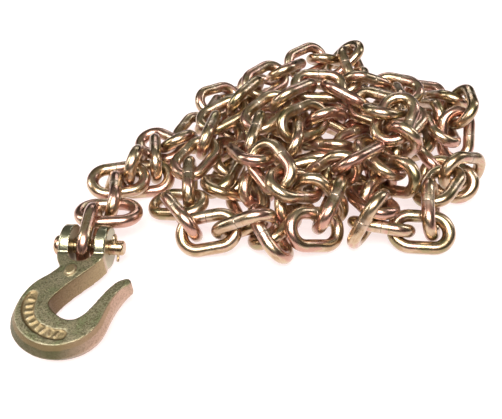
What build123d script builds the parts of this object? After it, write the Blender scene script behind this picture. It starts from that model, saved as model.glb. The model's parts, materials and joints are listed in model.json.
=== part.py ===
from build123d import *
import math
import os

os.makedirs("parts", exist_ok=True)

# ---------------------------------------------------------------- driving dimensions, mm
WIRE_D = 9.8            # wire of the 3/8 inch welded link
LINK_PITCH = 31.2       # inside length of a link
LINK_INNER_W = 14.2     # inside width of a link
WELD_GROOVE_W = 0.7     # ring mark where the flash of the butt weld was trimmed
WELD_GROOVE_D = 0.30
HOOK_T = 17.0           # thickness of the forging, face to face
EAR_R = 15.5            # round clevis ears
EAR_X = 16.5            # outer face of an ear, from the middle of the slot
SLOT_X = 8.8            # half width of the clevis slot
SLOT_END = -11.4        # centre of the rounded end of the slot
PIN_D = 10.5            # clevis pin
PIN_HOLE_D = 10.9
HEAD_D = 14.5           # pin head
HEAD_T = 4.6
PIN_HEAD_X = -18.6      # inner face of the head
PIN_END_X = 26.3
COTTER_X = 20.9         # cotter pin hole along the clevis pin
COTTER_HOLE_D = 4.4
COTTER_WIRE_D = 1.9
HOOK_ORIGIN = (-138.22, -87.54, 15.57)   # middle of the clevis pin as the hook lies
HOOK_YAW = -4.0         # degrees about Z
HOOK_TILT = 4.615        # degrees, bowl down, so that the bowl and the ears both rest on the ground

R_WIRE = WIRE_D / 2
R_BEND = LINK_INNER_W / 2 + R_WIRE
X_BEND = LINK_PITCH / 2 + R_WIRE - R_BEND

# ---------------------------------------------------------------- the lie of the chain
# One row per link, from the hook to the free end: centre x, y, z in mm, then the
# unit vector along the link and the unit vector across its flat width.
LIE = [
    (-138.30, -78.34, 18.84, 0.05666, 0.97000, 0.23641, 0.09751, -0.24104, 0.96561),
    (-128.87, -54.88, 18.98, 0.97810, 0.18344, -0.09835, 0.19382, -0.97495, 0.10909),
    (-130.97, -33.30, 16.36, -0.13866, 0.99013, -0.02050, -0.38961, -0.07357, -0.91804),
    (-128.22, -13.68, 18.60, 0.94998, 0.30900, -0.04543, 0.27945, -0.90589, -0.31822),
    (-116.40, 1.26, 22.19, 0.03711, -0.75576, 0.65380, -0.28755, -0.63465, -0.71731),
    (-110.25, -1.50, 10.73, 0.99604, 0.06933, 0.05564, 0.08673, -0.89528, -0.43699),
    (-102.82, 18.51, 17.16, -0.13758, 0.99048, -0.00420, -0.06343, -0.01305, -0.99790),
    (-100.28, 35.85, 18.15, 0.79908, -0.60122, 0.00031, -0.58216, -0.77388, -0.24940),
    (-84.95, 40.33, 18.77, 0.04445, 0.80020, -0.59809, -0.88160, -0.25018, -0.40025),
    (-73.03, 63.58, 13.91, 0.38955, 0.91332, 0.11874, 0.86743, -0.32050, -0.38059),
    (-62.06, 90.36, 16.63, 0.23814, 0.96817, -0.07707, -0.43250, 0.03466, -0.90097),
    (-53.34, 112.33, 19.27, 0.77292, 0.62840, -0.08777, 0.43722, -0.62773, -0.64405),
    (-34.35, 130.44, 16.64, 0.51088, 0.84244, -0.17116, -0.83301, 0.43595, -0.34064),
    (-11.44, 139.92, 14.74, 0.97646, -0.05486, -0.20859, -0.17711, -0.75588, -0.63030),
    (12.94, 139.00, 11.82, 0.99843, 0.01511, -0.05391, -0.04084, 0.85522, -0.51666),
    (41.19, 133.98, 12.37, 0.94578, -0.32480, -0.00103, -0.26012, -0.75552, -0.60127),
    (64.30, 119.62, 10.75, 0.68377, -0.72969, 0.00129, 0.64564, 0.60418, -0.46703),
    (71.16, 99.06, 13.91, 0.00950, -0.99995, 0.00218, -0.68228, -0.00807, -0.73105),
    (61.21, 81.78, 14.00, -0.93016, 0.07478, 0.35945, 0.20707, 0.91532, 0.34543),
    (44.55, 89.86, 20.54, -0.82297, 0.39445, -0.40882, 0.39448, -0.12104, -0.91090),
    (22.71, 90.80, 13.36, -0.53390, -0.74620, -0.39766, 0.83617, -0.53580, -0.11723),
    (2.94, 95.37, 12.43, -0.86099, 0.50350, 0.07196, 0.38193, 0.73347, -0.56228),
    (-13.94, 88.52, 17.37, -0.88522, -0.38705, -0.25803, -0.01956, 0.58518, -0.81067),
    (-35.65, 74.73, 17.33, -0.62116, -0.78339, 0.02115, -0.64712, 0.52796, 0.55000),
    (-39.95, 48.23, 14.75, 0.16254, -0.98670, 0.00199, -0.59129, -0.09902, -0.80036),
    (-41.14, 25.34, 11.92, -0.04468, -0.99739, -0.05671, -0.85116, 0.00829, 0.52484),
    (-44.84, -1.51, 12.33, -0.28744, -0.95776, 0.00830, -0.77145, 0.22637, -0.59466),
    (-39.46, -17.92, 13.72, 0.85133, 0.32212, -0.41410, 0.40680, -0.90373, 0.13334),
    (-24.98, -32.29, 11.87, 0.32823, -0.94438, 0.02045, -0.78663, -0.28526, -0.54757),
    (-14.69, -17.95, 16.92, 0.56003, 0.82214, -0.10229, 0.34809, -0.34554, -0.87146),
    (4.04, 0.22, 11.11, 0.95466, 0.29753, 0.01028, -0.25469, 0.83410, -0.48930),
    (28.25, 4.73, 13.43, 0.97563, 0.17255, 0.13556, 0.21700, -0.85041, -0.47929),
    (51.39, -1.56, 14.21, 0.84091, -0.53641, 0.07162, 0.42233, 0.56773, -0.70663),
    (71.08, -4.13, 11.35, 0.76847, 0.63203, 0.09994, 0.60244, -0.66199, -0.44591),
    (77.37, 19.06, 16.61, 0.07285, 0.99734, -0.00194, 0.29373, -0.02332, -0.95561),
    (69.49, 31.00, 22.50, -0.87995, -0.46150, -0.11272, 0.42100, -0.64758, -0.63514),
    (43.08, 30.01, 20.03, -0.83525, 0.44686, -0.32043, 0.53813, 0.54448, -0.64340),
    (17.80, 38.04, 12.35, -0.94891, 0.08016, -0.30519, -0.00006, -0.96724, -0.25388),
    (0.84, 47.08, 13.53, -0.90312, -0.12614, 0.41044, -0.18301, 0.97778, -0.10221),
    (-12.50, 57.19, 22.78, 0.40820, 0.65730, 0.63351, 0.86318, -0.50378, -0.03349),
    (5.24, 48.62, 28.37, 0.49292, -0.84529, 0.20619, 0.85862, 0.43425, -0.27239),
    (11.00, 21.27, 34.54, -0.04411, -0.99845, 0.03400, -0.44638, -0.01075, -0.89478),
    (21.29, 32.43, 44.30, 0.84141, 0.53665, 0.06358, 0.38652, -0.51542, -0.76482),
    (42.34, 47.58, 37.14, 0.44444, 0.68191, -0.58092, -0.83660, 0.08412, -0.54131),
    (58.53, 59.98, 29.89, 0.88141, -0.22501, -0.41531, -0.32159, -0.92986, -0.17871),
    (84.47, 64.94, 23.52, 0.91064, 0.39321, -0.12696, -0.33760, 0.53085, -0.77732),
    (100.73, 85.25, 14.90, 0.26915, 0.95659, -0.11181, 0.62863, -0.26244, -0.73208),
    (109.01, 112.73, 18.43, 0.44929, 0.78486, 0.42677, -0.41088, 0.60571, -0.68139),
    (125.71, 131.27, 22.68, 0.96433, 0.12108, -0.23540, 0.04984, -0.95640, -0.28776),
    (144.37, 115.49, 19.50, 0.58650, -0.76133, 0.27639, -0.16809, -0.44823, -0.87797),
    (158.12, 92.28, 29.73, 0.22945, -0.84015, 0.49142, -0.86743, 0.05250, 0.49478),
    (162.03, 65.55, 39.58, -0.07563, -0.99630, -0.04092, -0.55474, 0.07614, -0.82853),
    (156.29, 45.25, 23.01, 0.01277, -0.52853, -0.84882, -0.99516, -0.08945, 0.04073),
    (144.90, 52.58, 24.73, 0.01074, 0.99780, -0.06547, -0.90078, 0.03808, 0.43260),
    (142.15, 78.74, 21.14, -0.11274, 0.87495, -0.47090, -0.10682, 0.46050, 0.88121),
    (139.12, 68.81, 12.83, -0.91662, -0.36178, 0.17004, 0.23460, -0.83126, -0.50396),
    (124.31, 48.27, 12.68, -0.11743, -0.98914, 0.08838, -0.82249, 0.04700, -0.56684),
    (127.32, 19.99, 16.16, 0.18406, -0.97991, 0.07679, 0.67046, 0.06804, -0.73882),
    (138.96, -5.18, 13.47, 0.73477, -0.67816, -0.01433, -0.50153, -0.52892, -0.68463),
    (146.48, -10.01, 24.88, -0.81043, -0.45588, 0.36794, -0.28869, -0.23573, -0.92795),
    (123.88, -27.64, 23.70, -0.59492, -0.78846, -0.15624, -0.73365, 0.61206, -0.29520),
    (112.93, -51.70, 20.10, -0.10976, -0.89571, -0.43087, 0.41716, 0.35195, -0.83792),
    (103.61, -67.58, 11.60, -0.99692, 0.07789, 0.00931, -0.07103, -0.84594, -0.52853),
    (74.67, -62.80, 12.58, -0.96686, 0.25531, -0.00198, 0.19964, 0.75119, -0.62918),
    (63.14, -67.87, 24.35, 0.41331, 0.24008, 0.87837, 0.47735, 0.76433, -0.43352),
    (68.64, -48.19, 24.63, -0.31331, 0.92557, -0.21252, -0.94077, -0.27197, 0.20247),
    (77.44, -28.18, 17.47, 0.63683, 0.76807, -0.06723, 0.10730, -0.17463, -0.97877),
    (88.68, -24.91, 30.84, 0.56349, -0.71540, 0.41313, 0.12377, -0.42133, -0.89842),
    (78.66, -11.29, 38.32, -0.57934, 0.78925, 0.20359, 0.73181, 0.61365, -0.29645),
    (60.18, -18.52, 43.13, -0.73517, -0.67427, 0.06990, -0.46598, 0.42778, -0.77451),
    (40.70, -21.50, 30.63, -0.71112, 0.13800, -0.68940, 0.67627, -0.13389, -0.72438),
    (17.00, -19.78, 24.98, -0.96868, -0.18949, -0.16047, -0.24545, 0.82846, 0.50339),
    (8.27, -37.97, 16.75, -0.21650, -0.96394, -0.15473, 0.51620, 0.02150, -0.85620),
    (-3.92, -63.59, 12.98, -0.66737, -0.72466, -0.17170, 0.56649, -0.64363, 0.51462),
    (-8.29, -75.92, 17.57, -0.47748, 0.76332, 0.43515, 0.49483, 0.64285, -0.58471),
    (-27.25, -73.72, 24.14, -0.87912, 0.07025, -0.47139, 0.42880, 0.54827, -0.71801),
    (-53.41, -71.75, 14.73, -0.97155, 0.00744, -0.23673, 0.13776, -0.79528, -0.59038),
    (-74.68, -55.72, 16.61, -0.54502, 0.83763, 0.03634, 0.29111, 0.22971, -0.92870),
    (-78.56, -38.45, 13.90, 0.91332, -0.32454, 0.24601, -0.32496, -0.94488, -0.04005),
    (-70.56, -20.55, 19.10, -0.04000, 0.96681, 0.25234, 0.03124, 0.25363, -0.96680),
    (-67.57, 7.32, 25.39, 0.52917, 0.82630, 0.19289, 0.84721, -0.52713, -0.06612),
    (-58.01, 34.85, 30.07, 0.23349, 0.96953, 0.07411, -0.23402, 0.13001, -0.96350),
    (-46.93, 59.22, 35.06, 0.84317, 0.49102, 0.21902, 0.52864, -0.83139, -0.17126),
    (-27.55, 80.32, 40.89, 0.57540, 0.81079, 0.10740, -0.23540, 0.28994, -0.92764),
    (-8.90, 103.39, 45.05, 0.71177, 0.69682, 0.08851, 0.62307, -0.56815, -0.53758),
    (11.30, 124.55, 44.14, 0.48949, 0.83411, -0.25428, -0.74555, 0.24907, -0.61816),
    (31.75, 145.69, 43.16, 0.76512, 0.64124, 0.05839, 0.50949, -0.54747, -0.66386),
    (55.50, 159.49, 36.65, -0.74217, -0.52059, 0.42210, 0.66405, -0.65641, 0.35801),
    (68.49, 153.68, 40.38, 0.68925, 0.43603, 0.57863, 0.40425, -0.89421, 0.19230),
    (77.05, 138.00, 40.84, 0.23183, -0.90002, -0.36908, 0.72755, 0.41227, -0.54836),
    (70.31, 111.69, 37.95, -0.44087, -0.89346, -0.08581, -0.74258, 0.41678, -0.52428),
    (84.42, 101.87, 41.67, 0.92411, 0.12187, -0.36218, -0.36043, 0.59283, -0.72017),
    (110.65, 93.74, 40.89, 0.85534, -0.51803, 0.00613, -0.47590, -0.79033, -0.38587),
    (111.56, 72.22, 38.98, -0.02491, -0.98617, 0.16386, 0.31938, -0.16317, -0.93347),
    (108.90, 45.67, 35.65, -0.60937, -0.77509, -0.16702, -0.79288, 0.59653, 0.12447),
    (99.35, 20.18, 28.06, -0.16462, -0.93690, -0.30840, 0.19832, 0.27484, -0.94081),
    (96.67, 5.75, 43.46, 0.11009, -0.61513, 0.78071, -0.76652, 0.44748, 0.46066),
    (92.43, 15.65, 57.32, 0.41013, 0.77211, 0.48544, -0.88123, 0.47263, -0.00721),
    (88.42, 28.75, 56.25, 0.71051, 0.59176, -0.38079, 0.68313, -0.70989, 0.17146),
    (81.73, 47.46, 49.72, -0.66374, 0.73222, -0.15264, -0.49588, -0.58357, -0.64308),
    (60.13, 66.75, 49.40, -0.83370, 0.50031, 0.23375, 0.28114, 0.74887, -0.60012),
    (37.15, 75.61, 54.13, -0.99916, -0.00627, 0.04048, -0.01229, -0.89684, -0.44219),
    (14.34, 61.47, 52.34, -0.74244, -0.66939, 0.02660, -0.36625, 0.37233, -0.85278),
    (-8.57, 44.33, 46.68, -0.72593, -0.62238, -0.29269, 0.68363, -0.69958, -0.20794),
    (-19.65, 19.13, 37.95, -0.24810, -0.93547, -0.25169, -0.08856, 0.28063, -0.95572),
    (-22.23, -7.99, 40.94, 0.36142, -0.89148, 0.27321, 0.92990, 0.32318, -0.17559),
    (-7.04, -29.73, 43.57, 0.49219, -0.85206, -0.17816, -0.67119, -0.24114, -0.70096),
    (9.59, -43.23, 36.15, 0.81693, 0.44406, -0.36802, -0.37783, 0.89417, 0.24021),
    (29.61, -43.77, 22.66, 0.69754, -0.23234, -0.67784, -0.68205, 0.07469, -0.72748),
    (36.02, -53.86, 26.25, -0.40826, -0.85452, -0.32112, -0.19506, 0.42531, -0.88378),
    (23.98, -72.43, 18.31, -0.87782, -0.35253, 0.32429, 0.04982, -0.74054, -0.67017),
]

# nodes of the chain: name, first link, last link
NODES = [
    ("chain_link_01", 0, 0),
    ("chain_link_02", 1, 1),
    ("chain_link_03", 2, 2),
    ("chain_link_04", 3, 3),
    ("chain_link_05", 4, 4),
    ("chain_link_06", 5, 5),
    ("chain_link_07", 6, 6),
    ("chain_link_08", 7, 7),
    ("chain_link_09", 8, 8),
    ("chain_links_10_12", 9, 11),
    ("chain_links_13_15", 12, 14),
    ("chain_links_16_18", 15, 17),
    ("chain_links_19_21", 18, 20),
    ("chain_links_22_24", 21, 23),
    ("chain_links_25_27", 24, 26),
    ("chain_links_28_29", 27, 28),
    ("chain_links_30_31", 29, 30),
    ("chain_links_32_33", 31, 32),
    ("chain_links_34_35", 33, 34),
    ("chain_links_36_37", 35, 36),
    ("chain_links_38_39", 37, 38),
    ("chain_links_40_41", 39, 40),
    ("chain_links_42_43", 41, 42),
    ("chain_links_44_45", 43, 44),
    ("chain_links_46_47", 45, 46),
    ("chain_links_48_49", 47, 48),
    ("chain_links_50_51", 49, 50),
    ("chain_links_52_53", 51, 52),
    ("chain_links_54_55", 53, 54),
    ("chain_links_56_57", 55, 56),
    ("chain_links_58_59", 57, 58),
    ("chain_links_60_61", 59, 60),
    ("chain_links_62_63", 61, 62),
    ("chain_links_64_65", 63, 64),
    ("chain_links_66_67", 65, 66),
    ("chain_links_68_69", 67, 68),
    ("chain_links_70_71", 69, 70),
    ("chain_links_72_73", 71, 72),
    ("chain_links_74_75", 73, 74),
    ("chain_links_76_77", 75, 76),
    ("chain_links_78_79", 77, 78),
    ("chain_links_80_81", 79, 80),
    ("chain_links_82_83", 81, 82),
    ("chain_links_84_85", 83, 84),
    ("chain_links_86_87", 85, 86),
    ("chain_links_88_89", 87, 88),
    ("chain_links_90_91", 89, 90),
    ("chain_links_92_93", 91, 92),
    ("chain_links_94_95", 93, 94),
    ("chain_links_96_97", 95, 96),
    ("chain_links_98_99", 97, 98),
    ("chain_links_100_101", 99, 100),
    ("chain_links_102_103", 101, 102),
    ("chain_links_104_105", 103, 104),
    ("chain_links_106_107", 105, 106),
    ("chain_links_108_109", 107, 108),
    ("chain_links_110_111", 109, 110),
]


def link_solid():
    """A welded link lying in XY, long way along X, with its weld at the middle of one bar."""
    e = Edge.make_line((-X_BEND, R_BEND, 0), (X_BEND, R_BEND, 0))
    a = Edge.make_three_point_arc((X_BEND, R_BEND, 0), (X_BEND + R_BEND, 0, 0), (X_BEND, -R_BEND, 0))
    f = Edge.make_line((X_BEND, -R_BEND, 0), (-X_BEND, -R_BEND, 0))
    b = Edge.make_three_point_arc((-X_BEND, -R_BEND, 0), (-X_BEND - R_BEND, 0, 0), (-X_BEND, R_BEND, 0))
    path = Wire([e, a, f, b])
    section = Plane(origin=(-X_BEND, R_BEND, 0), z_dir=(1, 0, 0)) * Circle(R_WIRE)
    body = sweep(section, path=path)
    ring = Plane(origin=(-WELD_GROOVE_W / 2, -R_BEND, 0), z_dir=(1, 0, 0)) * (
        Circle(R_WIRE + 1) - Circle(R_WIRE - WELD_GROOVE_D))
    ring = extrude(ring, WELD_GROOVE_W)
    return body - ring


def smooth(points):
    return Spline(*[Vector(*p) for p in points])


def offset_points(points, widths):
    """Points moved to the right of the direction of travel by their widths."""
    out = []
    n = len(points)
    for i, (p, w) in enumerate(zip(points, widths)):
        q0 = points[max(0, i - 1)]
        q1 = points[min(n - 1, i + 1)]
        dx, dy = q1[0] - q0[0], q1[1] - q0[1]
        l = math.hypot(dx, dy)
        out.append((p[0] + w * dy / l, p[1] - w * dx / l))
    return out


# ---------------------------------------------------------------- hook forging, clevis pin along X, bowl towards -Y
OUTER = [(-10.8, -25.0), (-15.6, -32.3), (-22.4, -39.4), (-27.1, -49.0), (-28.5, -59.5), (-26.3, -69.5),
         (-20.2, -77.8), (-10.8, -84.0), (-0.2, -86.8), (10.4, -85.3), (19.8, -79.9), (25.7, -71.8),
         (28.2, -61.0), (31.0, -49.4), (39.7, -38.2)]
BULGE = [0.3, 1.4, 3.2, 4.4, 4.9, 5.0, 5.0, 5.0, 4.9, 4.6, 4.1, 3.5, 2.9, 2.2, 0.7]
INNER = [(35.0, -33.9), (31.1, -36.3), (27.9, -40.0), (25.1, -44.8), (22.2, -50.8), (19.2, -57.2),
         (15.9, -62.9), (12.2, -66.4), (7.6, -67.7), (2.8, -66.7), (-2.2, -63.8), (-6.3, -60.2), (-8.8, -56.4),
         (-8.1, -52.2), (-5.5, -47.2), (-2.1, -42.0), (4.8, -33.2), (11.3, -24.9), (16.4, -16.6)]
TIP_MID = (39.4, -34.7)
NECK = [(-16.3, -12.5), (-15.6, -17.2), (-13.4, -21.6)]


def hook_section(z, share):
    """Closed outline of the forging at height z, its outer side moved out by that share of the bulge."""
    outer = offset_points(OUTER, [share * b for b in BULGE])
    tip = (TIP_MID[0] + 0.25 * share, TIP_MID[1])
    o = smooth([(x, y, z) for x, y in reversed(outer)])
    i = smooth([(x, y, z) for x, y in INNER])
    t = Edge.make_three_point_arc((INNER[0][0], INNER[0][1], z), (tip[0], tip[1], z), (outer[-1][0], outer[-1][1], z))
    r = Edge.make_line((INNER[-1][0], INNER[-1][1], z), (EAR_X, 0, z))
    top = Edge.make_line((EAR_X, 0, z), (-EAR_X, 0, z))
    n1 = Edge.make_spline([Vector(-EAR_X, 0, z), Vector(NECK[0][0], NECK[0][1], z), Vector(NECK[1][0], NECK[1][1], z),
                           Vector(NECK[2][0], NECK[2][1], z), Vector(outer[0][0], outer[0][1], z)])
    return Wire([t, *o.edges(), n1, top, r, *i.edges()])


def hook_body():
    h = HOOK_T / 2
    # the draft of the die: widest at the parting line, halfway up
    levels = [(-h, 0.0), (-h / 2, 0.53), (0.0, 1.0), (h / 2, 0.53), (h, 0.0)]
    body = None
    for (z0, s0), (z1, s1) in zip(levels[:-1], levels[1:]):
        slab = Solid.make_loft([hook_section(z0, s0), hook_section(z1, s1)], ruled=True)
        body = slab if body is None else body + slab
    # the tip thins towards its point, from below
    wedge = Plane(origin=(29.0, -53.0, 0), x_dir=(0.466, 0.885, 0), z_dir=(0.885, -0.466, 0)) * Polygon(
        (0, -8.6), (8, -6.6), (15, -3.6), (24, 1.0), (24, -14), (-3, -14), align=None)
    body = body - extrude(wedge, 14, both=True)
    # clevis: two round ears with a slot between them
    barrel = Plane(origin=(-EAR_X, 0, 0), z_dir=(1, 0, 0)) * Cylinder(
        EAR_R, 2 * EAR_X, align=(Align.CENTER, Align.CENTER, Align.MIN))
    barrel = chamfer(barrel.edges().filter_by(GeomType.CIRCLE), 1.2)
    body = body + barrel
    slot = Pos(0, SLOT_END, 0) * Cylinder(SLOT_X, 60)
    slot += Pos(0, SLOT_END + 20, 0) * Box(2 * SLOT_X, 40, 60)
    body = body - slot
    hole = Plane(origin=(-30, 0, 0), z_dir=(1, 0, 0)) * Cylinder(
        PIN_HOLE_D / 2, 60, align=(Align.CENTER, Align.CENTER, Align.MIN))
    body = body - hole
    # raised oval button on the face
    button = Pos(-2.6, -28.9, h - 0.6) * extrude(Ellipse(3.7, 4.7), 2.2)
    button = fillet(button.edges().sort_by(Axis.Z)[-1], 0.9)
    body = body + button
    # sunk panel that follows the bowl, with plain raised ribs where the marking would be
    out_pts = [(-24.2, -50.0), (-25.4, -54.5), (-25.0, -60.5), (-22.7, -66.5), (-18.6, -72.0), (-12.9, -76.8),
               (-6.6, -80.2), (-0.4, -82.2), (5.6, -82.4)]
    in_pts = [(6.0, -75.2), (0.6, -75.0), (-5.0, -73.6), (-10.2, -70.6), (-14.2, -66.4), (-16.6, -61.0),
              (-17.3, -55.6), (-17.9, -50.6)]
    floor = h - 1.3
    a = smooth([(x, y, floor) for x, y in out_pts])
    b = smooth([(x, y, floor) for x, y in in_pts])
    c = Edge.make_three_point_arc((5.6, -82.4, floor), (9.2, -78.6, floor), (6.0, -75.2, floor))
    d = Edge.make_three_point_arc((-17.9, -50.6, floor), (-21.0, -47.4, floor), (-24.2, -50.0, floor))
    panel = extrude(Face(Wire([*a.edges(), c, *b.edges(), d])), 4.0)
    body = body - panel
    mid = [(-21.3, -53.5), (-21.0, -58.2), (-19.9, -62.8), (-17.6, -67.0), (-14.4, -70.8), (-10.6, -73.9),
           (-6.4, -76.2), (-2.0, -77.9), (2.6, -78.7)]
    for k, (x, y) in enumerate(mid):
        q0 = mid[max(0, k - 1)]
        q1 = mid[min(len(mid) - 1, k + 1)]
        ang = math.degrees(math.atan2(q1[1] - q0[1], q1[0] - q0[0]))
        rib = Pos(x, y, floor - 0.4) * Rot(0, 0, ang + (12 if k % 2 else -8)) * extrude(
            SlotOverall(4.6, 1.5, rotation=90), 1.2)
        body = body + rib
    return body


def clevis_pin():
    def along(x0, length, d):
        return Plane(origin=(x0, 0, 0), z_dir=(1, 0, 0)) * Cylinder(
            d / 2, length, align=(Align.CENTER, Align.CENTER, Align.MIN))
    shank = along(PIN_HEAD_X - 0.5, PIN_END_X - PIN_HEAD_X + 0.5, PIN_D)
    shank = chamfer(shank.edges().filter_by(GeomType.CIRCLE).sort_by(Axis.X)[-1], 1.0)
    head = along(PIN_HEAD_X - HEAD_T, HEAD_T, HEAD_D)
    head = fillet(head.edges().filter_by(GeomType.CIRCLE).sort_by(Axis.X)[0], 1.8)
    pin = shank + head
    return pin - Pos(COTTER_X, 0, 0) * Cylinder(COTTER_HOLE_D / 2, 40)


def cotter_pin():
    """One bent wire: two legs through the pin, an eye above it, the legs spread below it."""
    r = COTTER_WIRE_D / 2
    g = r + 0.06
    pts = [(0, -4.6, -10.4), (0, -g, -7.0), (0, -g, 5.6), (0, -3.4, 9.2), (0, 0, 12.6), (0, 3.4, 9.2),
           (0, g, 5.6), (0, g, -7.0), (0, 4.2, -10.8)]
    path = FilletPolyline(*[Vector(*p) for p in pts], radius=1.3)
    section = Plane(origin=path @ 0, z_dir=path % 0) * Circle(r)
    return Pos(COTTER_X, 0, 0) * sweep(section, path=path)


def place(shape, centre, along, across):
    """Shape moved so that its own X, Y and origin fall on along, across and centre."""
    plane = Plane(origin=centre, x_dir=along, z_dir=Vector(*along).cross(Vector(*across)))
    return plane.location * shape


def main():
    hook_at = Location(HOOK_ORIGIN) * Rot(0, 0, HOOK_YAW) * Rot(HOOK_TILT, 0, 0)
    export_step(hook_at * hook_body(), "parts/hook.step")
    export_step(hook_at * clevis_pin(), "parts/clevis_pin.step")
    export_step(hook_at * cotter_pin(), "parts/cotter_pin.step")
    link = link_solid()
    for name, first, last in NODES:
        solids = [place(link, row[0:3], row[3:6], row[6:9]) for row in LIE[first:last + 1]]
        shape = solids[0] if len(solids) == 1 else Compound(children=solids)
        export_step(shape, f"parts/{name}.step")


main()
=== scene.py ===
import bpy
import bmesh
import json
import math
import random
from mathutils import Matrix, Vector, noise


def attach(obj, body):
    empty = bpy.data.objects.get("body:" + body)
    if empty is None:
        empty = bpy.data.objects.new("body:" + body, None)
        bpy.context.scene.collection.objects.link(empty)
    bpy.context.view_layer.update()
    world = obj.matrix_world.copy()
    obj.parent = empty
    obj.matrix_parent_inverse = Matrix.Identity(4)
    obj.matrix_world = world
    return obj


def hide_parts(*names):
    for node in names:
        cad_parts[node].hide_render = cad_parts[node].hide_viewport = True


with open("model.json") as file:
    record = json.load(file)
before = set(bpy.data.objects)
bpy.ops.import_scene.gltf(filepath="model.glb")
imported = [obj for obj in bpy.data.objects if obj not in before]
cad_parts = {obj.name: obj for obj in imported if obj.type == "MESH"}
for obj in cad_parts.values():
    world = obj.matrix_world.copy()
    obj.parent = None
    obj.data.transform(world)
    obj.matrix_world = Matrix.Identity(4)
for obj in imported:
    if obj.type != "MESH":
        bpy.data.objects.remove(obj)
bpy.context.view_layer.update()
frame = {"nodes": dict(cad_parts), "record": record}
BODIES = frame["record"]["behaviour"]["bodies"]
BODY_OF = {n: b for b, ns in BODIES.items() for n in ns}
MM = 0.001

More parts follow.
